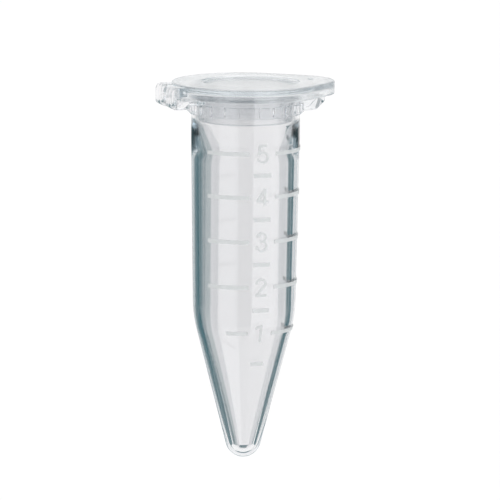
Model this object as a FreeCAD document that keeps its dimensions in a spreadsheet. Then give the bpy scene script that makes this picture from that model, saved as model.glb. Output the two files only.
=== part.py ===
import FreeCAD, Part
import math
import os
import re
import Sketcher

# A 5 mL snap-cap microcentrifuge tube, closed. Millimetres and degrees.
# The origin is on the tube's axis, at the underside of its collar, where a rack's top face
# would touch. +Z runs up the axis to the lid, the hinge is at -X, the thumb lip at +X, and
# the scale's numerals face -Y.

os.makedirs("parts", exist_ok=True)

# --- driving dimensions -----------------------------------------------------------------

SIZES = {
    # tube: outside
    "barrel_radius": 8.45,          # at the collar and down the straight rack land
    "rack_land": 4.0,               # straight length below the collar
    "neck_step": 0.25,              # neck inside the collar, narrower than the barrel
    "barrel_length": 31.7,          # collar underside to where the cone begins
    "barrel_draft": 0.48,           # how much narrower the barrel is there
    "cone_half_angle": 14.6,
    "tip_radius": 2.8,
    "rim_height": 3.8,              # tube's rim, above the collar underside
    # tube: inside
    "mouth_wall": 0.58,             # barrel's outside to the bore that the plug enters
    "mouth_depth": 1.1,             # mouth bore's end, below the collar underside
    "bore_wall": 1.59,              # where the taper from the mouth meets the main bore
    "bore_drop": 2.6,               # how far below the rack land that is
    "foot_wall": 1.35,              # where the cone begins
    "cone_wall": 1.15,              # square to the cone's surface, and at the tip
    # collar and ribs
    "collar_wall": 0.3,
    "collar_drop": 0.8,             # collar's top, below the rim
    "rib_depth": 0.3,
    "rib_width": 1.6,
    "rib_low": 0.25,
    "rib_gap": 0.1,                 # ribs' top to the straps' thin roots
    "rib_pitch": 15.0,
    "rib_count": 21,                # no rib where the thumb support is
    # thumb support under the lip
    "support_width": 6.0,
    "support_inset": 2.2,           # its end to the lip's end
    "support_rise": 0.45,           # how far its underside climbs outward
    # lid
    "skirt_room": 1.45,             # ribs to the skirt's inside
    "lip_reach": 2.7,               # lip's end, beyond the round lid
    "lip_radius": 6.3,
    "lid_plate": 1.0,
    "skirt_depth": 1.1,             # below the plate
    "skirt_wall": 1.0,
    "lid_edge_round": 0.3,
    "dish_margin": 3.9,             # lid's edge to the dish's edge
    "dish_offset": 0.8,
    "dish_depth": 0.4,
    "dimple_radius": 0.75,
    "dimple_inset": 3.35,           # its middle to the lip's end
    "dimple_depth": 0.4,
    # plug and its bead
    "plug_gap": 0.3,                # plug's root to the mouth bore
    "plug_end": 0.15,               # plug's lower edge, past the mouth bore's end
    "plug_foot_gap": 0.6,           # plug's lower edge to the mouth bore
    "plug_wall": 1.0,
    "bead_gap": 0.09,               # bead's crest to the mouth bore
    "bead_drop": 1.6,               # bead's middle, below the plate
    "bead_height": 1.2,
    # hinge: two straps side by side, each folded once
    "strap_width": 2.8,
    "strap_gap": 2.2,               # between the two straps
    "strap_reach": 1.0,             # where the thick leaves end, beyond the lid
    "fold_reach": 0.9,              # film's outside, beyond the leaves
    "fold_flat": 0.05,              # film's straight start, before its round
    "film": 0.4,
    "leaf_drop": 0.6,               # lower leaf's underside, below its thin root's
    "leaf_length": 1.85,
    "leaf_thickness": 1.85,
    "leaf_root": 0.7,               # thin root that runs to the collar
    "leaf_gap": 0.12,               # between the folded leaves
    "leaf_below_top": 0.2,          # upper leaf's top, below the lid's top
    # clearances between the tube and the lid
    "seat_gap": 0.05,               # plate over the tube's rim
    "skirt_gap": 0.2,               # skirt's edge over the collar's leaf roots and support
    "skirt_side_gap": 0.25,         # lower leaf's step to the skirt's outside
    # scale, angles measured from -Y toward +X
    "top_mark_drop": 1.4,           # highest mark's middle, below the rack land
    "mark_relief": 0.1,
    "mark_height": 0.6,
    "left_mark_from": -62.0,
    "left_mark_sweep": 48.0,
    "low_mark_sweep": 26.0,         # the left mark at 1 mL is shorter
    "right_mark_from": 15.0,
    "right_mark_sweep": 80.0,
    "half_mark_sweep": 19.0,
    "numeral_height": 2.9,
    "numeral_width": 1.95,
    "numeral_stroke": 0.38,
}

# The numerals as strokes on a unit square. Each stroke is a chain of points, and a bracketed
# pair is a round stretch: a point that it passes through, then its end.
STROKES = {
    1: [[(0.04, 0.82), (0.58, 1.0), (0.58, 0.0)]],
    2: [[(0.04, 0.70), [(0.49, 1.0), (0.94, 0.70)], (0.02, 0.0), (1.0, 0.0)]],
    3: [[(0.06, 0.78), [(0.88, 0.80), (0.40, 0.54)], [(0.96, 0.25), (0.02, 0.22)]]],
    4: [[(0.74, 0.0), (0.74, 1.0), (0.0, 0.27)], [(0.0, 0.27), (1.0, 0.27)]],
    5: [[(0.88, 1.0), (0.18, 1.0), (0.08, 0.48), [(0.98, 0.33), (0.02, 0.18)]]],
}

FULL_MARKS = (1, 2, 3, 4, 5)
HALF_MARKS = (0.5, 1.5, 2.5, 3.5, 4.5)
SIDES = {"front": -1, "rear": 1}


# --- the sheet and its expressions ------------------------------------------------------

def make_sheet(doc):
    sheet = doc.addObject("Spreadsheet::Sheet", "Sizes")
    for row, (name, value) in enumerate(SIZES.items(), start=1):
        write_size(sheet, row, name, value)
    return sheet


def write_size(sheet, row, name, value):
    sheet.set("A%d" % row, name)
    sheet.set("B%d" % row, repr(value))
    sheet.setAlias("B%d" % row, name)


def bound(text):
    """The expression with each size's name pointed at the sheet."""
    return re.sub(r"[a-z][a-z_0-9]*", lambda word: "Sizes." + word[0] if word[0] in SIZES else word[0], text)


def number(text):
    return float(doc.getObject("Sizes").evalExpression(bound(text)))


def bind(item, prop, text):
    item.setExpression(prop, bound(text))


# Radii that several pieces share.
NECK_RADIUS = "(barrel_radius - neck_step)"
FOOT_RADIUS = "(barrel_radius - barrel_draft)"
MOUTH_RADIUS = "(barrel_radius - mouth_wall)"
BORE_TOP_RADIUS = "(barrel_radius - bore_wall)"
BORE_FOOT_RADIUS = "(barrel_radius - barrel_draft - foot_wall)"
COLLAR_RADIUS = "(barrel_radius + collar_wall)"
SKIRT_INSIDE = "(barrel_radius + collar_wall + rib_depth + skirt_room)"
LID_RADIUS = "(barrel_radius + collar_wall + rib_depth + skirt_room + skirt_wall)"
LIP_END = "(%s + lip_reach)" % LID_RADIUS
LIP_CENTRE = "(%s - lip_radius)" % LIP_END
STRAP_END = "(%s + strap_reach)" % LID_RADIUS
PLUG_ROOT = "(%s - plug_gap)" % MOUTH_RADIUS

# Heights that several pieces share, and depths below the collar underside.
PLATE_LOW = "(rim_height + seat_gap)"
LID_TOP = "(%s + lid_plate)" % PLATE_LOW
SKIRT_LOW = "(%s - skirt_depth)" % PLATE_LOW
COLLAR_TOP = "(rim_height - collar_drop)"
ROOT_TOP = "(%s - skirt_gap)" % SKIRT_LOW
ROOT_LOW = "(%s - leaf_root)" % ROOT_TOP
LEAF_LOW = "(%s - leaf_drop)" % ROOT_LOW
LEAF_TOP = "(%s + leaf_thickness)" % LEAF_LOW
UPPER_LEAF_LOW = "(%s + leaf_gap)" % LEAF_TOP
UPPER_LEAF_TOP = "(%s - leaf_below_top)" % LID_TOP
BORE_TOP_DEPTH = "(rack_land + bore_drop)"
TIP_CENTRE = ("(-barrel_length - (%s - tip_radius * cos(cone_half_angle))"
              " / tan(cone_half_angle) + tip_radius * sin(cone_half_angle))" % FOOT_RADIUS)


def wall_radius(depth):
    """Expression for the tube's outer radius at an expression for the depth below the collar."""
    if number(depth) < number("barrel_length"):
        return ("(barrel_radius - barrel_draft * (%s - rack_land) / (barrel_length - rack_land))" % depth)
    return "(%s - (%s - barrel_length) * tan(cone_half_angle))" % (FOOT_RADIUS, depth)


def wall_levels(low, high):
    """Depths from low to high, with the depth where the cone begins if it lies between."""
    middle = ["barrel_length"] if number(high) < number("barrel_length") < number(low) else []
    return [low] + middle + [high]


# --- sketches and bodies ----------------------------------------------------------------

def new_body(label):
    body = doc.addObject("PartDesign::Body", label)
    body.Label = label
    return body


def new_sketch(body, role, name, offset=None):
    plane = next(item for item in body.Origin.OriginFeatures if item.Role == role)
    sketch = body.newObject("Sketcher::SketchObject", name)
    sketch.AttachmentSupport = (plane, [""])
    sketch.MapMode = "FlatFace"
    if offset:
        bind(sketch, "AttachmentOffset.Base.z", offset)
    return sketch


def pin(sketch, geometry, point, coordinate, text):
    """Hold one point's X or Y at an expression."""
    value = number(text)
    if abs(value) < 1e-9:
        axis = -2 if coordinate == "X" else -1
        sketch.addConstraint(Sketcher.Constraint("PointOnObject", geometry, point, axis))
        return
    index = sketch.addConstraint(Sketcher.Constraint("Distance" + coordinate, -1, 1, geometry, point, value))
    bind(sketch, "Constraints[%d]" % index, text)


def arc_between(start, end, centre_x, turn):
    """Arc from start to end about a centre at centre_x, counter-clockwise where turn is 1."""
    middle, chord = (start + end) * 0.5, end - start
    centre_y = middle.y - (centre_x - middle.x) * chord.x / chord.y
    centre = FreeCAD.Vector(centre_x, centre_y, 0)
    first, last = (start, end) if turn > 0 else (end, start)
    angles = [math.atan2(place.y - centre_y, place.x - centre_x) for place in (first, last)]
    circle = Part.Circle(centre, FreeCAD.Vector(0, 0, 1), start.distanceToPoint(centre))
    return Part.ArcOfCircle(circle, angles[0], angles[1])


def draw_outline(sketch, corners):
    """Close a chain of corners, each a pair of expressions. A corner with two more entries, a
    centre's X and a turn, starts an arc to the next corner."""
    places = [FreeCAD.Vector(number(corner[0]), number(corner[1]), 0) for corner in corners]
    first = sketch.GeometryCount
    ends = []
    for index, corner in enumerate(corners):
        start, end = places[index], places[(index + 1) % len(places)]
        if len(corner) == 4:
            sketch.addGeometry(arc_between(start, end, number(corner[2]), corner[3]), False)
            ends.append((1, 2) if corner[3] > 0 else (2, 1))
        else:
            sketch.addGeometry(Part.LineSegment(start, end), False)
            ends.append((1, 2))
    for index, corner in enumerate(corners):
        following = (index + 1) % len(corners)
        sketch.addConstraint(Sketcher.Constraint(
            "Coincident", first + index, ends[index][1], first + following, ends[following][0]))
        pin(sketch, first + index, ends[index][0], "X", corner[0])
        pin(sketch, first + index, ends[index][0], "Y", corner[1])
        if len(corner) == 4:
            pin(sketch, first + index, 3, "X", corner[2])


def draw_circle(sketch, centre_x, radius):
    circle = Part.Circle(FreeCAD.Vector(number(centre_x), 0, 0), FreeCAD.Vector(0, 0, 1), number(radius))
    geometry = sketch.addGeometry(circle, False)
    pin(sketch, geometry, 3, "X", centre_x)
    pin(sketch, geometry, 3, "Y", "0")
    index = sketch.addConstraint(Sketcher.Constraint("Radius", geometry, number(radius)))
    bind(sketch, "Constraints[%d]" % index, radius)


def revolve(label, corners, sweep="360"):
    body = new_body(label)
    sketch = new_sketch(body, "XZ_Plane", label + "_profile")
    draw_outline(sketch, corners)
    turned = body.newObject("PartDesign::Revolution", label + "_revolved")
    turned.Profile = sketch
    turned.ReferenceAxis = (sketch, ["V_Axis"])
    bind(turned, "Angle", sweep)
    sketch.Visibility = False
    return body


def pad(body, sketch, length, symmetric=False):
    feature = body.newObject("PartDesign::Pad", sketch.Name + "_pad")
    feature.Profile = sketch
    bind(feature, "Length", length)
    if symmetric:
        feature.SideType = "Symmetric"
    return feature


def cut_down(body, sketch, depth=None):
    """Pocket below the sketch's plane, or through everything both ways."""
    feature = body.newObject("PartDesign::Pocket", sketch.Name + "_cut")
    feature.Profile = sketch
    if depth:
        bind(feature, "Length", depth)
    else:
        feature.Type = "ThroughAll"
        feature.SideType = "Symmetric"
    return feature


# --- tube side --------------------------------------------------------------------------

def make_tube_body():
    """Barrel, cone and rounded tip as one revolved wall."""
    inner_tip = "(tip_radius - cone_wall)"
    foot_height = ("-barrel_length - (%s - cone_wall / cos(cone_half_angle) - %s) / tan(cone_half_angle)"
                   % (FOOT_RADIUS, BORE_FOOT_RADIUS))
    return revolve("tube_body", [
        (MOUTH_RADIUS, "rim_height"),
        (MOUTH_RADIUS, "-mouth_depth"),
        (BORE_TOP_RADIUS, "-" + BORE_TOP_DEPTH),
        (BORE_FOOT_RADIUS, foot_height),
        (inner_tip + " * cos(cone_half_angle)", TIP_CENTRE + " - " + inner_tip + " * sin(cone_half_angle)",
         "0", -1),
        ("0", TIP_CENTRE + " - " + inner_tip),
        ("0", TIP_CENTRE + " - tip_radius", "0", 1),
        ("tip_radius * cos(cone_half_angle)", TIP_CENTRE + " - tip_radius * sin(cone_half_angle)"),
        (FOOT_RADIUS, "-barrel_length"),
        ("barrel_radius", "-rack_land"),
        ("barrel_radius", "0"),
        (NECK_RADIUS, "neck_step"),
        (NECK_RADIUS, "rim_height"),
    ])


def make_collar():
    """Band round the tube's mouth, with short upright ribs below it."""
    body = revolve("ribbed_collar", [
        ("barrel_radius", "0"),
        (COLLAR_RADIUS, "0"),
        (COLLAR_RADIUS, COLLAR_TOP),
        (NECK_RADIUS, COLLAR_TOP),
        (NECK_RADIUS, "neck_step"),
    ])
    rib = new_sketch(body, "XY_Plane", "collar_rib", "rib_low")
    draw_outline(rib, [
        ("barrel_radius + collar_wall / 2", "-rib_width / 2"),
        (COLLAR_RADIUS + " + rib_depth", "-rib_width / 2"),
        (COLLAR_RADIUS + " + rib_depth", "rib_width / 2"),
        ("barrel_radius + collar_wall / 2", "rib_width / 2"),
    ])
    raised = pad(body, rib, ROOT_LOW + " - rib_gap - rib_low")
    doc.recompute()
    turn = body.newObject("PartDesign::PolarPattern", "collar_ribs")
    turn.Originals = [raised]
    turn.Axis = (rib, ["N_Axis"])
    bind(turn, "Angle", "rib_pitch * (rib_count - 1)")
    bind(turn, "Occurrences", "rib_count")
    body.Tip = turn
    bind(body, "Placement.Rotation.Angle", "180 - rib_pitch * (rib_count - 1) / 2")
    return body


def make_thumb_support():
    """Bevelled rib under the lid's lip, which a thumb pushes against."""
    body = new_body("thumb_support")
    side = new_sketch(body, "XZ_Plane", "support_side")
    end = LIP_END + " - support_inset"
    # The bevel takes two thirds of the outer end's height.
    bevel = "(%s - support_rise) * 2 / 3" % ROOT_TOP
    draw_outline(side, [
        ("barrel_radius - collar_wall", "0"),
        (end + " - " + bevel, "support_rise"),
        (end, "support_rise + " + bevel),
        (end, ROOT_TOP),
        ("barrel_radius - collar_wall", ROOT_TOP),
    ])
    pad(body, side, "support_width", symmetric=True)
    clear = new_sketch(body, "XY_Plane", "support_clear")
    draw_circle(clear, "0", COLLAR_RADIUS)
    cut_down(body, clear)
    return body


def make_lower_leaf(side):
    """Tube half of a hinge strap: a thick end on a thin root that joins the collar."""
    body = new_body("lower_strap_" + side)
    profile = new_sketch(body, "XZ_Plane", "lower_%s_side" % side, strap_place(side))
    end = "-" + STRAP_END
    step = "-%s - skirt_side_gap" % LID_RADIUS
    draw_outline(profile, [
        (end, LEAF_LOW),
        (end + " + leaf_length", LEAF_LOW),
        (end + " + leaf_length + leaf_drop", ROOT_LOW),
        ("-barrel_radius + collar_wall", ROOT_LOW),
        ("-barrel_radius + collar_wall", ROOT_TOP),
        (step, ROOT_TOP),
        (step, LEAF_TOP),
        (end, LEAF_TOP),
    ])
    pad(body, profile, "strap_width", symmetric=True)
    clear = new_sketch(body, "XY_Plane", "lower_%s_clear" % side)
    draw_circle(clear, "0", COLLAR_RADIUS)
    cut_down(body, clear)
    return body


def strap_place(side):
    return "%d * (strap_gap + strap_width) / 2" % -SIDES[side]


def make_hinge_film(side):
    """Thin wall that wraps round the folded strap's end and joins its two leaves."""
    body = new_body("hinge_film_" + side)
    profile = new_sketch(body, "XZ_Plane", "film_%s_side" % side, strap_place(side))
    end = "-" + STRAP_END
    out = end + " - fold_reach"
    turn = end + " - fold_flat"
    inside = out + " + film"
    fold = "(fold_reach - fold_flat)"
    low, high = LEAF_LOW, UPPER_LEAF_TOP
    draw_outline(profile, [
        (end, low),
        (end, low + " + film"),
        (turn, low + " + film", turn, -1),
        (inside, low + " + " + fold),
        (inside, high + " - " + fold, turn, -1),
        (turn, high + " - film"),
        (end, high + " - film"),
        (end, high),
        (turn, high, turn, 1),
        (out, high + " - " + fold),
        (out, low + " + " + fold, turn, 1),
        (turn, low),
    ])
    pad(body, profile, "strap_width", symmetric=True)
    return body


# --- lid side ---------------------------------------------------------------------------

def lid_outline(inset):
    """Round lid drawn out to a rounded lip, an inset inside the lid's edge."""
    big, small = "(%s - %s)" % (LID_RADIUS, inset), "(lip_radius - %s)" % inset
    lean = "((%s - lip_radius) / %s)" % (LID_RADIUS, LIP_CENTRE)
    rise = "sqrt(1 - %s ^ 2)" % lean
    near, far = "%s * %s" % (big, lean), "%s + %s * %s" % (LIP_CENTRE, small, lean)
    return [
        (near, "%s * %s" % (big, rise), "0", 1),
        (near, "-%s * %s" % (big, rise)),
        (far, "-%s * %s" % (small, rise), LIP_CENTRE, 1),
        (far, "%s * %s" % (small, rise)),
    ]


def make_lid_plate():
    """Flat lid with a shallow dish, a thumb lip and a small dimple on it."""
    body = new_body("lid_plate")
    outline = new_sketch(body, "XY_Plane", "plate_outline", PLATE_LOW)
    draw_outline(outline, lid_outline("0"))
    raised = pad(body, outline, "lid_plate")
    doc.recompute()
    top = number(LID_TOP)
    rim = ["Edge%d" % (index + 1) for index, edge in enumerate(raised.Shape.Edges)
           if abs(edge.BoundBox.ZMin - top) < 1e-6 and abs(edge.BoundBox.ZMax - top) < 1e-6]
    rounded = body.newObject("PartDesign::Fillet", "plate_edge")
    rounded.Base = (raised, rim)
    bind(rounded, "Radius", "lid_edge_round")
    for name, centre, radius, depth in (
            ("dish", "dish_offset", LID_RADIUS + " - dish_margin", "dish_depth"),
            ("dimple", LIP_END + " - dimple_inset", "dimple_radius", "dimple_depth")):
        round_cut = new_sketch(body, "XY_Plane", name, LID_TOP)
        draw_circle(round_cut, centre, radius)
        cut_down(body, round_cut, depth)
    return body


def make_skirt():
    """Wall that hangs from the lid's edge and shields the rim."""
    body = new_body("lid_skirt")
    outline = new_sketch(body, "XY_Plane", "skirt_outline", SKIRT_LOW)
    draw_outline(outline, lid_outline("0"))
    draw_outline(outline, lid_outline("skirt_wall"))
    pad(body, outline, "skirt_depth")
    return body


def make_plug():
    """Hollow plug under the lid, tapered to a narrower lower edge."""
    foot = MOUTH_RADIUS + " - plug_foot_gap"
    low = "-mouth_depth - plug_end"
    return revolve("sealing_plug", [
        (PLUG_ROOT + " - plug_wall", PLATE_LOW),
        (foot + " - plug_wall", low),
        (foot, low),
        (PLUG_ROOT, PLATE_LOW + " - bead_drop - bead_height"),
        (PLUG_ROOT, PLATE_LOW),
    ])


def make_bead():
    """Rounded ring on the plug that seals against the mouth bore."""
    middle = PLATE_LOW + " - bead_drop"
    height = "(plug_gap - bead_gap)"
    # An arc over the bead's height whose crest stands proud of the plug by that rise.
    arc = "((bead_height / 2) ^ 2 + %s ^ 2) / (2 * %s)" % (height, height)
    centre = PLUG_ROOT + " + " + height + " - " + arc
    return revolve("sealing_bead", [
        (PLUG_ROOT, middle + " - bead_height / 2", centre, 1),
        (PLUG_ROOT, middle + " + bead_height / 2"),
    ])


def make_upper_leaf(side):
    """Lid half of a hinge strap."""
    body = new_body("upper_strap_" + side)
    profile = new_sketch(body, "XZ_Plane", "upper_%s_side" % side, strap_place(side))
    draw_outline(profile, [
        ("-" + STRAP_END, UPPER_LEAF_LOW),
        ("-" + SKIRT_INSIDE, UPPER_LEAF_LOW),
        ("-" + SKIRT_INSIDE, UPPER_LEAF_TOP),
        ("-" + STRAP_END, UPPER_LEAF_TOP),
    ])
    pad(body, profile, "strap_width", symmetric=True)
    clear = new_sketch(body, "XY_Plane", "upper_%s_clear" % side)
    draw_circle(clear, "0", LID_RADIUS)
    cut_down(body, clear)
    return body


# --- scale ------------------------------------------------------------------------------

def frustum(low_radius, high_radius, height):
    return math.pi * height * (low_radius ** 2 + low_radius * high_radius + high_radius ** 2) / 3


def volume_below(depth):
    """Cubic millimetres that the bore holds up to a depth below the collar underside."""
    slope = math.radians(number("cone_half_angle"))
    ball = number("tip_radius - cone_wall")
    join_radius = ball * math.cos(slope)
    join = -number(TIP_CENTRE) + ball * math.sin(slope)
    cap = ball * (1 - math.sin(slope))
    held = math.pi * cap ** 2 * (3 * ball - cap) / 3
    foot_radius, top_radius = number(BORE_FOOT_RADIUS), number(BORE_TOP_RADIUS)
    foot = join - (foot_radius - join_radius) / math.tan(slope)
    top = number(BORE_TOP_DEPTH)
    if depth >= foot:
        return held + frustum(join_radius, join_radius + (join - depth) * math.tan(slope), join - depth)
    held += frustum(join_radius, foot_radius, join - foot)
    if depth >= top:
        here = foot_radius + (top_radius - foot_radius) * (foot - depth) / (foot - top)
        return held + frustum(foot_radius, here, foot - depth)
    held += frustum(foot_radius, top_radius, foot - top)
    widening = (number(MOUTH_RADIUS) - top_radius) / (top - number("mouth_depth"))
    return held + frustum(top_radius, top_radius + (top - depth) * widening, top - depth)


def depth_that_holds(volume):
    """Depth of the surface of a volume of liquid below the collar underside, by halving."""
    high, low = 0.0, -number(TIP_CENTRE)
    for _ in range(40):
        middle = (high + low) / 2
        if volume_below(middle) > volume:
            high = middle
        else:
            low = middle
    return low


def mark_name(figure):
    return ("%g" % figure).replace(".", "_")


def add_fill_depths(sheet):
    """Put each mark's depth into the sheet, its share of what the bore holds up to the top mark."""
    full = volume_below(number("rack_land + top_mark_drop"))
    print("the bore holds %.2f mL up to the highest mark" % (full / 1000))
    for figure in FULL_MARKS + HALF_MARKS:
        name = "fill_depth_" + mark_name(figure)
        depth = round(depth_that_holds(full * figure / max(FULL_MARKS)), 3)
        SIZES[name] = depth
        write_size(sheet, len(SIZES), name, depth)
    doc.recompute()


def make_mark(label, figure, start, sweep):
    """Raised line across the tube's wall at a volume's level."""
    depth = "fill_depth_" + mark_name(figure)
    levels = wall_levels("(%s + mark_height / 2)" % depth, "(%s - mark_height / 2)" % depth)
    inner = [(wall_radius(level), "-" + level) for level in levels]
    outer = [(wall_radius(level) + " + mark_relief", "-" + level) for level in reversed(levels)]
    mark = revolve(label, inner + outer, sweep)
    bind(mark, "Placement.Rotation.Angle", "270 + " + start)
    return mark


def make_marks():
    marks = []
    for figure in FULL_MARKS:
        name = mark_name(figure)
        sweep = "low_mark_sweep" if figure == 1 else "left_mark_sweep"
        left_start = "left_mark_from + left_mark_sweep - " + sweep
        marks.append(make_mark("left_mark_" + name, figure, left_start, sweep))
        marks.append(make_mark("right_mark_" + name, figure, "right_mark_from", "right_mark_sweep"))
    for figure in HALF_MARKS:
        label = "half_mark_" + mark_name(figure)
        marks.append(make_mark(label, figure, "-half_mark_sweep / 2", "half_mark_sweep"))
    return marks


def bar_face(start, end, thickness):
    """Flat straight stroke between two points in the plane of X and Z."""
    along = (end - start).normalize() * (thickness / 2)
    across = FreeCAD.Vector(-along.z, 0, along.x)
    corners = [start - across, end - across, end + across, start + across]
    return Part.Face(Part.makePolygon(corners + corners[:1]))


def bow_face(start, through, end, thickness):
    """Flat round stroke through three points in the plane of X and Z."""
    circle = Part.Arc(start, through, end).toShape().Curve
    rims = []
    for radius in (circle.Radius + thickness / 2, circle.Radius - thickness / 2):
        rims.append([circle.Center + (place - circle.Center).normalize() * radius
                     for place in (start, through, end)])
    edges = [Part.Arc(*rims[0]).toShape(), Part.makeLine(rims[0][2], rims[1][2]),
             Part.Arc(*reversed(rims[1])).toShape(), Part.makeLine(rims[1][0], rims[0][0])]
    return Part.Face(Part.Wire(edges))


def figure_faces(digit, width, height, thickness):
    """Every stroke of a numeral, with a round joint wherever two strokes meet."""
    def place(point):
        return FreeCAD.Vector((point[0] - 0.5) * width, 0, (point[1] - 0.5) * height)
    faces = []
    for stroke in STROKES[digit]:
        pen = place(stroke[0])
        for step in stroke[1:]:
            if isinstance(step, list):
                through, end = place(step[0]), place(step[1])
                faces.append(bow_face(pen, through, end, thickness))
            else:
                end = place(step)
                faces.append(bar_face(pen, end, thickness))
            joint = Part.makeCircle(thickness / 2, end, FreeCAD.Vector(0, 1, 0))
            faces.append(Part.Face(Part.Wire(joint)))
            pen = end
    return faces


def make_numeral(digit):
    """Raised figure on the tube's wall, centred on its mark."""
    depth = "fill_depth_" + mark_name(digit)
    thickness = number("numeral_stroke")
    width, height = number("numeral_width") - thickness, number("numeral_height") - thickness
    reach = number("barrel_radius + 2 * mark_relief")
    strokes = [face.extrude(FreeCAD.Vector(0, -reach, 0))
               for face in figure_faces(digit, width, height, thickness)]
    figure = strokes[0].multiFuse(strokes[1:]).removeSplitter()
    figure.translate(FreeCAD.Vector(0, 0, -number(depth)))
    feature = doc.addObject("Part::Feature", "numeral_%d" % digit)
    feature.Shape = figure.common(wall_shell(depth)).Solids[0]
    feature.Placement = FreeCAD.Placement()
    return feature


def wall_shell(depth):
    """Thin skin on the tube's outside, taller than a numeral, about a depth."""
    levels = wall_levels("(%s + numeral_height)" % depth, "(%s - numeral_height)" % depth)
    inner = [FreeCAD.Vector(number(wall_radius(level)), 0, -number(level)) for level in levels]
    outer = [place + FreeCAD.Vector(number("mark_relief"), 0, 0) for place in reversed(inner)]
    outline = Part.Face(Part.makePolygon(inner + outer + inner[:1]))
    return outline.revolve(FreeCAD.Vector(), FreeCAD.Vector(0, 0, 1), 360)


# --- build, check and write -------------------------------------------------------------

def build():
    sheet = make_sheet(doc)
    doc.recompute()
    add_fill_depths(sheet)
    pieces = [make_tube_body(), make_collar(), make_thumb_support()]
    for side in SIDES:
        pieces += [make_lower_leaf(side), make_hinge_film(side), make_upper_leaf(side)]
    pieces += [make_lid_plate(), make_skirt(), make_plug(), make_bead()]
    pieces += make_marks()
    pieces += [make_numeral(digit) for digit in STROKES]
    doc.recompute()
    return pieces


def check(pieces):
    for item in doc.Objects:
        if "Invalid" in item.State or "Error" in item.State:
            raise RuntimeError("%s did not build: %s" % (item.Label, item.State))
    for piece in pieces:
        if piece.Shape.isNull() or not piece.Shape.isValid() or len(piece.Shape.Solids) != 1:
            raise RuntimeError("%s is not one valid solid" % piece.Label)


doc = FreeCAD.newDocument("microcentrifuge_tube")
finished = build()
check(finished)
for piece in finished:
    piece.Shape.exportStep("parts/%s.step" % piece.Label)
print("wrote %d pieces" % len(finished))
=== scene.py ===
# %% [markdown]
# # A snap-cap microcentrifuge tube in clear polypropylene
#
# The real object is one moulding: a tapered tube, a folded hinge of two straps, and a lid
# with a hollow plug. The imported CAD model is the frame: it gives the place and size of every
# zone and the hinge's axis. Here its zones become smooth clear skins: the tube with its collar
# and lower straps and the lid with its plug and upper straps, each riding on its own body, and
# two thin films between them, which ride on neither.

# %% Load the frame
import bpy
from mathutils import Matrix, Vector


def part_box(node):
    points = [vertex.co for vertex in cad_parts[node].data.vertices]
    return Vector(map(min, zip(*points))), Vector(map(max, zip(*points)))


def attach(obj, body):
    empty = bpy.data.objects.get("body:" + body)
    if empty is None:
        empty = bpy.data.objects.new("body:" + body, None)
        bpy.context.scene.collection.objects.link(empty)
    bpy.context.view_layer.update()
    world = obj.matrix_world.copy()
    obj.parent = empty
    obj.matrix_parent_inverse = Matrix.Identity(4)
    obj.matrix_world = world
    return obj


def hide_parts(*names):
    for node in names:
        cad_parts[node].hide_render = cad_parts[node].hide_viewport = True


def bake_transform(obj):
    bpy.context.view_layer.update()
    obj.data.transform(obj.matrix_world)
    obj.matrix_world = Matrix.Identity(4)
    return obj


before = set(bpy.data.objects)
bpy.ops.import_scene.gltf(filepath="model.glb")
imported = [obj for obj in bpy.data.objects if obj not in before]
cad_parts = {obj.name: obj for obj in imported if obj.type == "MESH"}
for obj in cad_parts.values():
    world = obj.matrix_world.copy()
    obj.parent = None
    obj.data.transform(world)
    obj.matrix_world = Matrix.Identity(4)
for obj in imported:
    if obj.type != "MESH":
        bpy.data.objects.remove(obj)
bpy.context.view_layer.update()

import math
import bmesh
import bpy
from mathutils import Matrix, Vector

MM = 0.001

# %% [markdown]
# ## Camera
#
# A long lens from a little above, turned toward the hinge side, gives the flat, catalogue
# look of a laboratory product. It comes first so that the framing is settled before any
# modelling. The lens follows from how much of the object's width the picture should show.

# %% Place the camera
AZIMUTH = math.radians(-19)
ELEVATION = math.radians(8.5)
ROLL = math.radians(0.45)
CAMERA_DISTANCE = 1.2
FRAME_WIDTH = 77.5 * MM               # width of the picture at the tube's axis
AIM_DROP = 21.5 * MM                  # middle of the picture, below the collar
AIM_RIGHT = 0.85 * MM


def toward(azimuth, elevation):
    """Direction away from the object, its azimuth turning from -Y toward +X."""
    level = math.cos(elevation)
    return Vector((math.sin(azimuth) * level, -math.cos(azimuth) * level, math.sin(elevation)))


back = toward(AZIMUTH, ELEVATION)
right = Vector((math.cos(AZIMUTH), math.sin(AZIMUTH), 0))
tilt = Matrix.Rotation(ROLL, 4, "Z").to_quaternion()
camera = bpy.data.objects.new("camera", bpy.data.cameras.new("camera"))
bpy.context.scene.collection.objects.link(camera)
camera.data.lens = camera.data.sensor_width * CAMERA_DISTANCE / FRAME_WIDTH
camera.location = back * CAMERA_DISTANCE + right * AIM_RIGHT - Vector((0, 0, AIM_DROP))
camera.rotation_mode = "QUATERNION"
camera.rotation_quaternion = (-back).to_track_quat("-Z", "Y") @ tilt
camera.data.clip_start, camera.data.clip_end = 0.01, 20
bpy.context.scene.camera = camera
print("lens: %.0f mm" % camera.data.lens)

# %% [markdown]
# ## Sizes from the frame
#
# The boxes of the CAD nodes give every outer size. Only what a box can't show, such as the
# cone's angle, the walls and the radii inside the collar, is named here.

# %% Read the boxes
tube_low, tube_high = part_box("tube_body")
collar_low, collar_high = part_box("ribbed_collar")
support_low, support_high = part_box("thumb_support")
plate_low, plate_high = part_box("lid_plate")
skirt_low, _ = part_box("lid_skirt")
plug_low, plug_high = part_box("sealing_plug")
bead_low, bead_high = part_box("sealing_bead")

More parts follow.
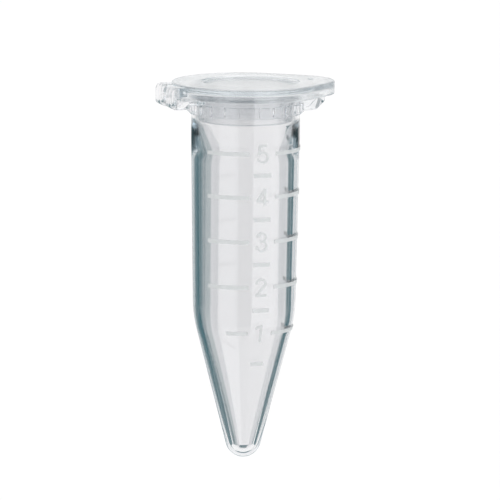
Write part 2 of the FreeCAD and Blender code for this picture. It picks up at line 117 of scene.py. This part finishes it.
SKIN = 0.03 * MM                      # clear wall drawn in by this, so the marks lie on it
BARREL_RADIUS = tube_high.x - SKIN
BARREL_LENGTH = 31.7 * MM             # from the collar to where the cone begins
RACK_LAND = 4.0 * MM                  # straight part under the collar
FOOT_RADIUS = 7.97 * MM - SKIN
CONE_ANGLE = math.radians(14.6)
TIP_RADIUS = 2.8 * MM - SKIN
WALL = 1.15 * MM                      # of the cone and tip
COLLAR_RADIUS = 8.75 * MM
NECK_RADIUS = 8.2 * MM
MOUTH_RADIUS = 7.87 * MM
print("barrel %.2f mm, tip at %.2f mm" % (BARREL_RADIUS / MM, tube_low.z / MM))

# %% [markdown]
# ## Outlines with rounded corners
#
# A moulded edge is never sharp: it catches a thin line of light. A bevel after modelling
# could round it, but a Boolean's edges bevel badly. So an outline here is a list of corners,
# each with its own rounding, and one helper swaps each corner for an arc that meets both
# sides smoothly. Corners are given as a distance from the axis and a height.

# %% Round the corners of an outline
def rounded(corners, closed=False, steps=5):
    """Points of an outline whose corners are (across, up, rounding)."""
    places = [Vector((across, 0, up)) for across, up, _ in corners]
    points = []
    for index, (_, _, radius) in enumerate(corners):
        corner = places[index]
        at_end = not closed and index in (0, len(corners) - 1)
        if radius == 0 or at_end:
            points.append(corner)
            continue
        behind = (places[index - 1] - corner).normalized()
        ahead = (places[(index + 1) % len(places)] - corner).normalized()
        half = behind.angle(ahead) / 2
        centre = corner + (behind + ahead).normalized() * (radius / math.sin(half))
        first = corner + behind * (radius / math.tan(half)) - centre
        last = corner + ahead * (radius / math.tan(half)) - centre
        swing = first.angle(last)
        for step in range(steps + 1):
            share = step / steps
            mix = first * math.sin((1 - share) * swing) + last * math.sin(share * swing)
            points.append(centre + mix / math.sin(swing))
    return points


def arc(centre_up, radius, start, end, steps):
    """Points of an arc about a centre on the axis, angles from straight out toward up."""
    angles = [start + (end - start) * step / steps for step in range(steps + 1)]
    return [Vector((radius * math.cos(a), 0, centre_up + radius * math.sin(a))) for a in angles]


trial_corners = [(0, 0, 0), (1, 0, 0.2), (1, 1, 0)]
print("%d corners, one of them rounded: %d points" % (len(trial_corners), len(rounded(trial_corners))))

# %% [markdown]
# ## From an outline to a solid
#
# Three ways of making a solid cover this object. Spinning an outline gives the tube and the
# plug. Pushing an outline sideways gives the straps and the rib under the lip. A stack of
# rings, bridged one to the next, gives the lid, whose outline isn't round.

# %% Solids from outlines
SAME_PLACE = 1e-7                     # vertices nearer than this become one
SHARP_EDGE = math.radians(50)         # a pushed solid's edges sharper than this are rounded


def tidy(bm):
    """Merge doubled vertices and turn every face outward."""
    bmesh.ops.remove_doubles(bm, verts=bm.verts, dist=SAME_PLACE)
    bmesh.ops.recalc_face_normals(bm, faces=bm.faces)
    return bm


def chain(bm, points, closed):
    """Vertices at the points, and the edges that join each to the next."""
    verts = [bm.verts.new(point) for point in points]
    following = verts[1:] + verts[:1] if closed else verts[1:]
    return verts, [bm.edges.new(pair) for pair in zip(verts, following)]


def spun(points, closed=False, steps=192):
    """An outline turned once about the axis."""
    bm = bmesh.new()
    verts, edges = chain(bm, points, closed)
    bmesh.ops.spin(bm, geom=verts + edges, cent=(0, 0, 0), axis=(0, 0, 1),
                   angle=2 * math.pi, steps=steps, use_merge=True)
    return tidy(bm)


def pushed(points, near, far, edge):
    """A flat outline pushed across the object from one Y to another, its edges rounded."""
    bm = bmesh.new()
    verts, _ = chain(bm, points, True)
    face = bm.faces.new(verts)
    bmesh.ops.translate(bm, verts=bm.verts, vec=(0, near, 0))
    grown = bmesh.ops.extrude_face_region(bm, geom=[face])
    moved = [item for item in grown["geom"] if isinstance(item, bmesh.types.BMVert)]
    bmesh.ops.translate(bm, verts=moved, vec=(0, far - near, 0))
    bmesh.ops.recalc_face_normals(bm, faces=bm.faces)
    sharp = [line for line in bm.edges if line.calc_face_angle(0) > SHARP_EDGE]
    bmesh.ops.bevel(bm, geom=sharp, offset=edge, offset_type="OFFSET", affect="EDGES",
                    segments=3, profile=0.5, material=-1, clamp_overlap=True)
    return tidy(bm)


def stacked(rings):
    """Rings of equal count, bridged in turn and capped at both ends."""
    bm = bmesh.new()
    loops = [chain(bm, ring, True) for ring in rings]
    for lower, upper in zip(loops, loops[1:]):
        bmesh.ops.bridge_loops(bm, edges=lower[1] + upper[1])
    for verts, _ in (loops[0], loops[-1]):
        bm.faces.new(verts)
    return tidy(bm)


trial_cylinder = spun([Vector(place) for place in ((0, 0, 0), (1, 0, 0), (1, 0, 1), (0, 0, 1))])
print("a spun cylinder of radius 1 and height 1 holds %.3f" % trial_cylinder.calc_volume())
trial_cylinder.free()

# %% [markdown]
# ## One skin for a moulding
#
# Where two clear solids only touch, light sees a wall between them. Joining the solids with
# a Boolean leaves one skin, as the real moulding has. The large flat faces of a clear piece
# show any tilt of their shading as a warp in what lies behind, so a Weighted Normal
# modifier keeps them flat while the small roundings stay smooth.

# %% Objects and Booleans
SMOOTH_BELOW = math.radians(35)       # edges that turn less than this are shaded smooth
FLAT_WEIGHT = 100                     # large faces alone decide the shading beside them


def to_object(name, bm):
    """A bmesh made an object of the scene."""
    mesh = bpy.data.meshes.new(name)
    bm.to_mesh(mesh)
    bm.free()
    made = bpy.data.objects.new(name, mesh)
    bpy.context.scene.collection.objects.link(made)
    return made


def combine(target, bm, operation):
    """Join a solid to the target, or cut it away."""
    tool = to_object("tool", bm)
    step = target.modifiers.new("step", "BOOLEAN")
    step.operation, step.solver, step.object = operation, "MANIFOLD", tool
    graph = bpy.context.evaluated_depsgraph_get()
    mesh = bpy.data.meshes.new_from_object(target.evaluated_get(graph))
    target.modifiers.clear()
    target.data = mesh
    bpy.data.objects.remove(tool)


def merged(solids):
    """Several separate solids in one bmesh."""
    whole = bmesh.new()
    for bm in solids:
        mesh = bpy.data.meshes.new("share")
        bm.to_mesh(mesh)
        bm.free()
        whole.from_mesh(mesh)
        bpy.data.meshes.remove(mesh)
    return whole


def finish_piece(piece, body, stands_for):
    """Shade the piece, let it ride on its body and take the place of its CAD nodes."""
    for face in piece.data.polygons:
        face.use_smooth = True
    piece.data.set_sharp_from_angle(angle=SMOOTH_BELOW)
    if body:
        weighted = piece.modifiers.new("flat_stays_flat", "WEIGHTED_NORMAL")
        weighted.keep_sharp, weighted.weight = True, FLAT_WEIGHT
        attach(piece, body)
    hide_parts(*stands_for)
    print("%s: %d faces" % (piece.name, len(piece.data.polygons)))


print("edges under %.0f degrees are shaded smooth" % math.degrees(SMOOTH_BELOW))

# %% [markdown]
# ## The tube
#
# The tube could be cones and cylinders joined one by one, but one outline keeps every
# change of slope smooth. It runs from the inside of the tip, up the bore and over the rim,
# then down the outside past the collar to the tip again. The mouth, where the plug sits,
# narrows to the main bore in one gentle taper. Spun once, the outline is the whole wall.

# %% Tube wall
BORE_FOOT_RADIUS = 6.62 * MM          # where the bore's cone begins
BORE_TOP_RADIUS = 6.86 * MM           # where the taper from the mouth ends
BORE_TOP = -6.6 * MM
MOUTH_END = -1.1 * MM                 # where that taper starts

tip_centre = tube_low.z + TIP_RADIUS + SKIN
inner_tip = TIP_RADIUS + SKIN - WALL
cone_foot_gap = FOOT_RADIUS + SKIN - WALL / math.cos(CONE_ANGLE) - BORE_FOOT_RADIUS
cone_foot_height = -BARREL_LENGTH - cone_foot_gap / math.tan(CONE_ANGLE)
rim = tube_high.z

inside_tip = list(reversed(arc(tip_centre, inner_tip, -CONE_ANGLE, -math.pi / 2, 12)))
outside_tip = arc(tip_centre, TIP_RADIUS, -CONE_ANGLE, -math.pi / 2, 16)
wall_corners = [
    (inside_tip[-1].x, inside_tip[-1].z, 0),
    (BORE_FOOT_RADIUS, cone_foot_height, 18 * MM),
    (BORE_TOP_RADIUS, BORE_TOP, 8 * MM),
    (MOUTH_RADIUS, MOUTH_END, 4 * MM),
    (MOUTH_RADIUS, rim, 0.14 * MM),
    (NECK_RADIUS, rim, 0.14 * MM),
    (NECK_RADIUS, collar_high.z, 0.08 * MM),
    (COLLAR_RADIUS, collar_high.z, 0.1 * MM),
    (COLLAR_RADIUS, 0, 0.1 * MM),
    (BARREL_RADIUS, 0, 0.08 * MM),
    (BARREL_RADIUS, -RACK_LAND, 3 * MM),
    (FOOT_RADIUS, -BARREL_LENGTH, 20 * MM),
    (outside_tip[0].x, outside_tip[0].z, 0),
]
wall_points = inside_tip[:-1] + rounded(wall_corners, steps=6) + outside_tip[1:]
for pole in (wall_points[0], wall_points[-1]):
    pole.x = 0
tube = to_object("clear_tube", spun(wall_points))
print("tube outline: %d points" % len(wall_points))

# %% [markdown]
# ## Collar ribs
#
# Short upright ribs stand round the collar, evenly pitched, and stop at the support under
# the lip. An Array modifier could repeat one, but they have to join the collar's skin, so
# each is a small block with rounded edges, turned into place by a loop and then joined.

# %% Collar ribs
RIB_COUNT = 21
RIB_PITCH = math.radians(15)
RIB_WIDTH = 1.6 * MM
RIB_LOW = 0.25 * MM
RIB_HIGH = 1.75 * MM
RIB_ROOT = 0.3 * MM                   # how far a rib starts inside the collar
RIB_EDGE = 0.1 * MM

rib_outside = -collar_low.x
rib_inside = COLLAR_RADIUS - RIB_ROOT
rib_outline = [Vector((rib_inside, 0, RIB_LOW)), Vector((rib_outside, 0, RIB_LOW)),
               Vector((rib_outside, 0, RIB_HIGH)), Vector((rib_inside, 0, RIB_HIGH))]
ribs = []
for index in range(RIB_COUNT):
    rib = pushed(rib_outline, -RIB_WIDTH / 2, RIB_WIDTH / 2, RIB_EDGE)
    turn = math.pi + (index - (RIB_COUNT - 1) / 2) * RIB_PITCH
    bmesh.ops.rotate(rib, verts=rib.verts, cent=(0, 0, 0), matrix=Matrix.Rotation(turn, 3, "Z"))
    ribs.append(rib)
combine(tube, merged(ribs), "UNION")
print("ribs: %d, %.0f degrees apart" % (RIB_COUNT, math.degrees(RIB_PITCH)))

# %% [markdown]
# ## Thumb support
#
# A bevelled rib on the collar stands under the lid's lip, where a thumb presses. It grows
# out of the collar, so it starts inside the wall and is trimmed to it before it is joined:
# nothing may stick into the bore.

# %% Thumb support
WALL_BITE = 0.1 * MM                  # what grows out of the collar starts this far inside it
CORE_REACH = 10 * MM                  # the trimming core's ends, above and below the collar
START = 5 * MM                        # outlines start this near the axis and are then trimmed
STEM_EDGE = 0.1 * MM
SUPPORT_LOW = 0.02 * MM               # its underside at the collar
SUPPORT_BEVEL = 1.4 * MM              # how far in from its end the steep bevel starts
BEVEL_LOW = 0.45 * MM                 # the steep bevel's lower and upper edge
BEVEL_HIGH = 1.85 * MM

core_radius = NECK_RADIUS + WALL_BITE


def trimmed(bm):
    """A solid with everything nearer the axis than the collar's wall cut away."""
    part = to_object("part", bm)
    core = spun([Vector((0, 0, -CORE_REACH)), Vector((core_radius, 0, -CORE_REACH)),
                 Vector((core_radius, 0, CORE_REACH)), Vector((0, 0, CORE_REACH))])
    combine(part, core, "DIFFERENCE")
    bm = bmesh.new()
    bm.from_mesh(part.data)
    bpy.data.objects.remove(part)
    return bm


support_outline = rounded([
    (START, SUPPORT_LOW, 0),
    (support_high.x - SUPPORT_BEVEL, BEVEL_LOW, 0.8 * MM),
    (support_high.x, BEVEL_HIGH, 0.5 * MM),
    (support_high.x, support_high.z, 0.12 * MM),
    (START, support_high.z, 0),
], closed=True)
support = pushed(support_outline, support_low.y, support_high.y, STEM_EDGE)
combine(tube, trimmed(support), "UNION")
print("thumb support: %.1f mm wide" % ((support_high.y - support_low.y) / MM))

# %% [markdown]
# ## Lower straps
#
# The tube's half of each hinge strap is a thin root under the lid's skirt that thickens to
# a block where the fold begins. Both straps are pushed from one outline and trimmed as the
# support was.

# %% Lower straps
ROOT = 0.7 * MM                       # thickness of the thin root
ROOT_GAP = 0.2 * MM                   # root's top to the lid's skirt
STEP_X = -11.75 * MM                  # where the root steps up to the block
STRAP_EDGE = 0.12 * MM
root_top = skirt_low.z - ROOT_GAP

lower_straps = []
for side in ("front", "rear"):
    low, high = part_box("lower_strap_" + side)
    thick = high.z - low.z
    outline = rounded([
        (low.x, low.z, STRAP_EDGE),
        (low.x + thick, low.z, 0.5 * MM),
        (low.x + thick + (root_top - ROOT - low.z), root_top - ROOT, 0.5 * MM),
        (-START, root_top - ROOT, 0),
        (-START, root_top, 0),
        (STEP_X, root_top, 0.15 * MM),
        (STEP_X, high.z, 0.15 * MM),
        (low.x, high.z, STRAP_EDGE),
    ], closed=True, steps=4)
    lower_straps.append(pushed(outline, low.y, high.y, STRAP_EDGE))
combine(tube, trimmed(merged(lower_straps)), "UNION")
finish_piece(tube, "tube", ["tube_body", "ribbed_collar", "thumb_support",
                            "lower_strap_front", "lower_strap_rear"])

# %% [markdown]
# ## The lid
#
# Seen from above the lid is a circle drawn out to a rounded lip: two arcs and the straight
# sides that touch both. One function gives that ring at any inset and height. A stack of
# such rings is a solid with rounded edges, and a second, smaller stack cut out of it leaves
# the plate with its skirt.

# %% Rings of the lid's outline
LID_RADIUS = 11.5 * MM
LIP_RADIUS = 6.3 * MM
LIP_CENTRE = 7.9 * MM
lean = math.acos((LID_RADIUS - LIP_RADIUS) / LIP_CENTRE)


def lid_ring(inset, up):
    """Points of the lid's outline, drawn in by an inset."""
    points = []
    for centre, radius, start, end, steps in (
            (0, LID_RADIUS, lean, 2 * math.pi - lean, 144), (LIP_CENTRE, LIP_RADIUS, -lean, lean, 64)):
        for step in range(steps + 1):
            angle = start + (end - start) * step / steps
            reach = radius - inset
            points.append(Vector((centre + reach * math.cos(angle), reach * math.sin(angle), up)))
    return points


def quarter(inset_from, up_from, inset_to, up_to, steps=5):
    """Insets and heights along a quarter round that starts level and ends upright."""
    turns = [math.pi / 2 * step / steps for step in range(steps + 1)]
    return [(inset_from + (inset_to - inset_from) * math.sin(a), up_to + (up_from - up_to) * math.cos(a))
            for a in turns]


print("lid ring: %d points, sides lean %.0f degrees" % (len(lid_ring(0, 0)), math.degrees(lean)))

# %% Plate and skirt
EDGE = 0.3 * MM                       # rounding of the lid's upper edge
LIP_EDGE = 0.2 * MM                   # rounding of the skirt's lower edge
SKIRT_WALL = 1.0 * MM
CUT_PAST = 1 * MM                     # a cutting solid runs past the surface by this

outside = quarter(EDGE, plate_high.z, 0, plate_high.z - EDGE)
outside += list(reversed(quarter(LIP_EDGE, skirt_low.z, 0, skirt_low.z + LIP_EDGE)))
hollow = [(SKIRT_WALL - LIP_EDGE, skirt_low.z - CUT_PAST)]
hollow += quarter(SKIRT_WALL - LIP_EDGE, skirt_low.z, SKIRT_WALL, skirt_low.z + LIP_EDGE)
hollow += list(reversed(quarter(SKIRT_WALL + EDGE, plate_low.z, SKIRT_WALL, plate_low.z - EDGE)))
lid = to_object("clear_lid", stacked([lid_ring(inset, up) for inset, up in outside]))
combine(lid, stacked([lid_ring(inset, up) for inset, up in hollow]), "DIFFERENCE")
print("plate and skirt: %d faces" % len(lid.data.polygons))

# %% [markdown]
# ## Plug and bead
#
# The plug is a hollow ring under the plate that closes the mouth. Its bead, the ring that
# seals, is a soft bulge near the top. Both are one outline, spun, so that no seam lies
# between them.

# %% Plug with its bead
PLUG_WALL = 1.0 * MM
PLUG_TAPER = 0.3 * MM                 # how much narrower the plug's lower edge is
PLATE_BITE = 0.6 * MM                 # plug's top, below the lid's top and inside the plate
INNER_KNEE = 0.5 * MM                 # where the plug's inside starts to narrow
BEAD_GAP = 0.09 * MM                  # bead's crest to the mouth
BEAD_SHARE = 0.88                     # part of the bead's height that its bulge takes

plug_root = plug_high.x
plug_foot = plug_root - PLUG_TAPER
bead_middle = (bead_low.z + bead_high.z) / 2
bead_half = (bead_high.z - bead_low.z) / 2 * BEAD_SHARE
bead_crest = MOUTH_RADIUS - BEAD_GAP
plug_outline = rounded([
    (plug_root - PLUG_WALL, plate_high.z - PLATE_BITE, 0),
    (plug_root - PLUG_WALL, plate_low.z - INNER_KNEE, 0.4 * MM),
    (plug_foot - PLUG_WALL, plug_low.z, 0.25 * MM),
    (plug_foot, plug_low.z, 0.25 * MM),
    (plug_root, bead_middle - bead_half, 0.3 * MM),
    (bead_crest, bead_middle, 0.8 * MM),
    (plug_root, bead_middle + bead_half, 0.3 * MM),
    (plug_root, plate_high.z - PLATE_BITE, 0),
], closed=True, steps=6)
combine(lid, spun(plug_outline, closed=True), "UNION")
print("plug %.2f mm at its root, bead %.2f mm" % (plug_root / MM, bead_crest / MM))

# %% [markdown]
# ## Dish and dimple
#
# The top of the lid has a wide shallow dish for a label and, in the lip, a small dimple.
# Both are cut with spun shapes whose lower edges are rounded, because a moulded hollow has
# a rounded foot.

# %% Dish and dimple
DISH_CENTRE = 0.8 * MM
DISH_RADIUS = 7.6 * MM
DIMPLE_CENTRE = 10.85 * MM
DIMPLE_RADIUS = 0.75 * MM
CUT_DEPTH = 0.4 * MM
CUT_ROUND = 0.3 * MM


def top_cut(centre, radius):
    """A round cutting solid that stands in the lid's top."""
    bm = spun(rounded([
        (0, plate_high.z - CUT_DEPTH, 0),
        (radius, plate_high.z - CUT_DEPTH, CUT_ROUND),
        (radius, plate_high.z + CUT_PAST, 0),
        (0, plate_high.z + CUT_PAST, 0),
    ], steps=6), steps=128)
    bmesh.ops.translate(bm, verts=bm.verts, vec=(centre, 0, 0))
    return bm


combine(lid, top_cut(DISH_CENTRE, DISH_RADIUS), "DIFFERENCE")
combine(lid, top_cut(DIMPLE_CENTRE, DIMPLE_RADIUS), "DIFFERENCE")
print("dish %.1f mm across, dimple %.1f mm" % (2 * DISH_RADIUS / MM, 2 * DIMPLE_RADIUS / MM))

# %% [markdown]
# ## Upper straps
#
# The lid's half of each strap is a plain block that lies on the lower one when the lid is
# shut. Each ends inside the skirt's wall, where the Boolean joins it to the lid.

# %% Upper straps
INSIDE_SKIRT = -10.55 * MM

upper_straps = []
for side in ("front", "rear"):
    low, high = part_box("upper_strap_" + side)
    outline = rounded([
        (low.x, low.z, STRAP_EDGE),
        (INSIDE_SKIRT, low.z, 0),
        (INSIDE_SKIRT, high.z, 0),
        (low.x, high.z, STRAP_EDGE),
    ], closed=True, steps=4)
    upper_straps.append(pushed(outline, low.y, high.y, STRAP_EDGE))
combine(lid, merged(upper_straps), "UNION")
finish_piece(lid, "lid", ["lid_plate", "lid_skirt", "sealing_plug", "sealing_bead",
                          "upper_strap_front", "upper_strap_rear"])

# %% [markdown]
# ## Hinge films
#
# Each strap's two halves are joined round their ends by a thin wall that bends when the lid
# opens. Its outline is a flat-sided C, pushed across the strap's width. The piece rides on
# neither body.

# %% Hinge films
FILM = 0.4 * MM                       # the wall's thickness
FOLD_ROUND = 0.85 * MM                # outer rounding of the fold
OVERLAP = 0.12 * MM                   # how far the film runs into the straps
FILM_EDGE = 0.06 * MM
fold_inside = FOLD_ROUND - FILM

films = []
for side in ("front", "rear"):
    low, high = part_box("hinge_film_" + side)
    outline = rounded([
        (high.x + OVERLAP, low.z, 0),
        (low.x, low.z, FOLD_ROUND),
        (low.x, high.z, FOLD_ROUND),
        (high.x + OVERLAP, high.z, 0),
        (high.x + OVERLAP, high.z - FILM, 0),
        (low.x + FILM, high.z - FILM, fold_inside),
        (low.x + FILM, low.z + FILM, fold_inside),
        (high.x + OVERLAP, low.z + FILM, 0),
    ], closed=True, steps=10)
    film = to_object("hinge_film_%s_skin" % side, pushed(outline, low.y, high.y, FILM_EDGE))
    finish_piece(film, None, ["hinge_film_" + side])
    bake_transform(film)
    films.append(film)

# %% [markdown]
# ## Writing materials as expressions
#
# A material is easier to read as arithmetic than as a web of nodes. This class wraps one
# socket, so that adding or multiplying wrapped sockets adds Math nodes, with a number on
# either side. Any other node is made by one function that takes its type, what goes into
# its sockets and its settings.

# %% Sockets that take arithmetic
class Link:
    """An output socket that can be added and multiplied."""

    def __init__(self, tree, socket):
        self.tree = tree
        self.socket = socket

    def __add__(self, other):
        return node(self.tree, "ShaderNodeMath", {0: self, 1: other}, operation="ADD")

    def __mul__(self, other):
        return node(self.tree, "ShaderNodeMath", {0: self, 1: other}, operation="MULTIPLY")

    __radd__ = __add__
    __rmul__ = __mul__


def node(tree, kind, values, output=0, **settings):
    """A node of a kind, with its settings, then what its sockets hold or are linked to."""
    made = tree.nodes.new(kind)
    for name, value in settings.items():
        setattr(made, name, value)
    for name, value in values.items():
        if isinstance(value, Link):
            tree.links.new(value.socket, made.inputs[name])
        else:
            made.inputs[name].default_value = value
    return Link(tree, made.outputs[output]) if made.outputs else None


# The colour sockets of a Mix node share their names with others, so they go by number.
MIX_A = 6
MIX_B = 7
MIX_RESULT = 2


def blank_material(name):
    """A material whose node tree is empty."""
    material = bpy.data.materials.new(name)
    material.use_nodes = True
    material.node_tree.nodes.clear()
    return material


trial_material = blank_material("trial")
trial_sum = 1 + 2 * node(trial_material.node_tree, "ShaderNodeTexNoise", {})
print("1 + 2 * noise made %d nodes" % len(trial_sum.tree.nodes))
bpy.data.materials.remove(trial_material)

# %% [markdown]
# ## Clear polypropylene
#
# Polished polypropylene bends light like glass but is a touch hazy, with flow lines from
# the mould and a faint blue-grey depth that shows where light travels far inside a wall.
# The flow lines run up the tube, so the noise is stretched along Z. They vary the gloss and
# lift the surface by a few microns. The depth is an absorption, the same all through. The lid
# is left a little duller by its mould, so it gets a milkier version.

# %% Clear plastic
PLASTIC_IOR = 1.49
ALONG_FLOW = (1, 1, 0.12)             # the noise is stretched up the tube
FLOW_LIFT = 1.03                      # brighter tint where the flow is strong
DEPTH_COLOUR = (0.75, 0.85, 0.9, 1)
DEPTH_DENSITY = 24
POLISHED_TINT = (0.87, 0.868, 0.876, 1)
MILKY_TINT = (0.89, 0.90, 0.91, 1)
MILKY_ROUGHNESS = 0.10


def clear_plastic(name, tint, added_roughness):
    """Plastic that light passes through, with flow lines in its tint, gloss and height."""
    material = blank_material(name)
    tree = material.node_tree
    lifted_tint = [channel * FLOW_LIFT for channel in tint[:3]] + [1]
    place = node(tree, "ShaderNodeTexCoord", {}, output="Object")
    stretched = node(tree, "ShaderNodeMapping", {"Vector": place, "Scale": ALONG_FLOW})
    flow = node(tree, "ShaderNodeTexNoise", {"Vector": stretched, "Scale": 260, "Detail": 3})
    haze = node(tree, "ShaderNodeTexNoise", {"Vector": place, "Scale": 900, "Detail": 2})
    pits = node(tree, "ShaderNodeTexNoise", {"Vector": place, "Scale": 5200, "Detail": 1})
    shade = node(tree, "ShaderNodeMix", {"Factor": flow, MIX_A: tint, MIX_B: lifted_tint},
                 output=MIX_RESULT, data_type="RGBA")
    bump = node(tree, "ShaderNodeBump", {
        "Strength": 0.05, "Distance": 0.00004, "Height": 0.6 * flow + 0.4 * pits})
    surface = node(tree, "ShaderNodeBsdfPrincipled", {
        "Base Color": shade, "Roughness": 0.05 * haze + 0.03 * flow + added_roughness,
        "Normal": bump, "IOR": PLASTIC_IOR, "Transmission Weight": 1.0})
    depth = node(tree, "ShaderNodeVolumeAbsorption", {"Color": DEPTH_COLOUR, "Density": DEPTH_DENSITY})
    node(tree, "ShaderNodeOutputMaterial", {"Surface": surface, "Volume": depth})
    return material


polished = clear_plastic("polished_polypropylene", POLISHED_TINT, 0.0)
milky = clear_plastic("milky_polypropylene", MILKY_TINT, MILKY_ROUGHNESS)
clear_pieces = [(tube, polished), (lid, milky)] + [(film, polished) for film in films]
for piece, material in clear_pieces:
    piece.data.materials.clear()
    piece.data.materials.append(material)
print("clear pieces:", len(clear_pieces))

# %% [markdown]
# ## Frosted marks
#
# The scale is moulded proud of the wall and left matt, so it scatters light instead of
# passing it: pale where the wall is dark and faint where it is light. The CAD nodes already
# have the right shape and keep it. Their finish is a fine grain in colour, cover and height.

# %% Frosted plastic
FROST_DARK = (0.66, 0.685, 0.69, 1)
FROST_LIGHT = (0.76, 0.785, 0.79, 1)


def frosted_plastic(name):
    """Matt plastic that covers what lies behind by a half to four fifths."""
    material = blank_material(name)
    tree = material.node_tree
    place = node(tree, "ShaderNodeTexCoord", {}, output="Object")
    grain = node(tree, "ShaderNodeTexNoise", {"Vector": place, "Scale": 9000, "Detail": 3})
    patch = node(tree, "ShaderNodeTexNoise", {"Vector": place, "Scale": 700, "Detail": 2})
    shade = node(tree, "ShaderNodeMix", {"Factor": grain, MIX_A: FROST_DARK, MIX_B: FROST_LIGHT},
                 output=MIX_RESULT, data_type="RGBA")
    bump = node(tree, "ShaderNodeBump", {"Strength": 0.3, "Distance": 0.00003, "Height": grain})
    surface = node(tree, "ShaderNodeBsdfPrincipled", {
        "Base Color": shade, "Roughness": 0.5 + 0.2 * grain, "Normal": bump,
        "Alpha": 0.5 + 0.3 * patch, "IOR": PLASTIC_IOR})
    node(tree, "ShaderNodeOutputMaterial", {"Surface": surface})
    return material


frosted = frosted_plastic("frosted_marks")
marks = [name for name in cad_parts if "mark" in name or "numeral" in name]
for name in marks:
    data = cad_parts[name].data
    for index in range(len(data.materials)):
        data.materials[index] = frosted
print("frosted marks and numerals:", len(marks))

# %% [markdown]
# ## Floor and room
#
# Clear plastic has no colour of its own to show: it shows the room. A white room gives the
# pale body. The floor lies far below the tip and glows a little, so that it reads as pale as
# the room and shows no line where the two meet.

# %% Floor and room
FLOOR_DROP = 250 * MM
FLOOR_SIZE = 6
FLOOR_SHADE = (0.8, 0.8, 0.8)
FLOOR_GLOW = 0.21
WHITE = (1, 1, 1, 1)


def stage_material(name, shade, glow=0.0):
    """A plain matt material that may glow white."""
    material = bpy.data.materials.new(name)
    material.use_nodes = True
    surface = material.node_tree.nodes["Principled BSDF"]
    surface.inputs["Base Color"].default_value = (*shade, 1)
    surface.inputs["Roughness"].default_value = 0.9
    surface.inputs["Emission Color"].default_value = WHITE
    surface.inputs["Emission Strength"].default_value = glow
    return material


world = bpy.data.worlds.new("room")
world.use_nodes = True
world.node_tree.nodes["Background"].inputs["Color"].default_value = WHITE
world.node_tree.nodes["Background"].inputs["Strength"].default_value = 1.0
bpy.context.scene.world = world

floor_bm = bmesh.new()
bmesh.ops.create_grid(floor_bm, x_segments=1, y_segments=1, size=FLOOR_SIZE)
bmesh.ops.translate(floor_bm, verts=floor_bm.verts, vec=(0, 0, tube_low.z - FLOOR_DROP))
floor = to_object("floor", floor_bm)
floor.data.materials.append(stage_material("floor_white", FLOOR_SHADE, FLOOR_GLOW))
print("floor at %.0f mm" % ((tube_low.z - FLOOR_DROP) / MM))

# %% [markdown]
# ## Cards and soft boxes
#
# The thick wall bends light most near its edges, so what shows there stands far to the side,
# out of the picture. A dark card on each side gives the edges their lines, and greyer and
# paler cards beside them soften the change toward the middle. One more lies low behind, for
# the level edges. On the near side a soft box left and right gives the upright highlights,
# with a faint one between. All are curved walls round the object that show only in
# reflections and in light that has passed through the plastic.

# %% Cards and soft boxes
DEGREE = math.radians(1)
CARD_EDGES = (0.22, -0.150), (0.22, -0.031)
UNDER_EDGES = (0.6, -0.25), (0.25, -0.25)
BOX_EDGES = (0.40, -0.25), (0.40, 0.25)


def curved_card(name, from_angle, to_angle, edges, material):
    """Card bent about the object between two (reach, height) edges, unseen by the camera.
    Its angles run clockwise from straight behind the object."""
    start = math.pi / 2 + AZIMUTH - from_angle * DEGREE
    outline = [Vector((reach * math.cos(start), reach * math.sin(start), up)) for reach, up in edges]
    bm = bmesh.new()
    verts, lines = chain(bm, outline, False)
    bmesh.ops.spin(bm, geom=verts + lines, cent=(0, 0, 0), axis=(0, 0, 1),
                   angle=(from_angle - to_angle) * DEGREE, steps=24, use_merge=False)
    card = to_object(name, tidy(bm))
    card.data.materials.append(material)
    card.visible_camera = card.visible_diffuse = card.visible_shadow = False


dark = stage_material("card_dark", (0.065, 0.15, 0.175))
grey = stage_material("card_grey", (0.42, 0.48, 0.49))
pale = stage_material("card_pale", (0.76, 0.77, 0.78))
cards = (
    ("card_left", -62, -20, CARD_EDGES, dark),
    ("card_left_fade", -20, -12, CARD_EDGES, grey),
    ("card_left_pale", -12, -7, CARD_EDGES, pale),
    ("card_right_pale", 12, 32, CARD_EDGES, pale),
    ("card_right", 32, 60, CARD_EDGES, dark),
    ("card_under", -12, 12, UNDER_EDGES, dark),
)
for card_settings in cards:
    curved_card(*card_settings)

boxes = (("box_left", -158, -100, 0.6), ("box_right", 105, 162, 1.6), ("wall_front", 162, 202, 0.3))
for name, from_angle, to_angle, glow in boxes:
    glowing = stage_material(name + "_glow", (0, 0, 0), glow)
    curved_card(name, from_angle, to_angle, BOX_EDGES, glowing)
print("cards: %d, glowing boxes: %d" % (len(cards), len(boxes)))

# %% [markdown]
# ## Key light
#
# One weak, wide lamp from the upper right gives the frosted marks and the edges a little
# direction. A ray meets many clear walls one after another in the lid and the folded
# hinge, so it is allowed many bounces. With too few it ends inside and leaves them dark.

# %% Key light
KEY_AZIMUTH = 50 * DEGREE             # from the camera's own azimuth toward the right
KEY_ELEVATION = 45 * DEGREE
KEY_DISTANCE = 0.6
KEY_SIZE = 0.4
KEY_POWER = 0.4
LIGHT_BOUNCES = 40

key_data = bpy.data.lights.new("key", "AREA")
key_data.energy = KEY_POWER
key_data.size = KEY_SIZE
key = bpy.data.objects.new("key", key_data)
bpy.context.scene.collection.objects.link(key)
key_side = toward(KEY_AZIMUTH + AZIMUTH, KEY_ELEVATION)
key.location = key_side * KEY_DISTANCE
key.rotation_mode = "QUATERNION"
key.rotation_quaternion = (-key_side).to_track_quat("-Z", "Y")

scene = bpy.context.scene
scene.view_settings.view_transform = "Standard"
scene.cycles.max_bounces = LIGHT_BOUNCES
scene.cycles.transmission_bounces = LIGHT_BOUNCES
scene.cycles.glossy_bounces = LIGHT_BOUNCES
print("key light: %.1f W, bounces: %d" % (KEY_POWER, LIGHT_BOUNCES))
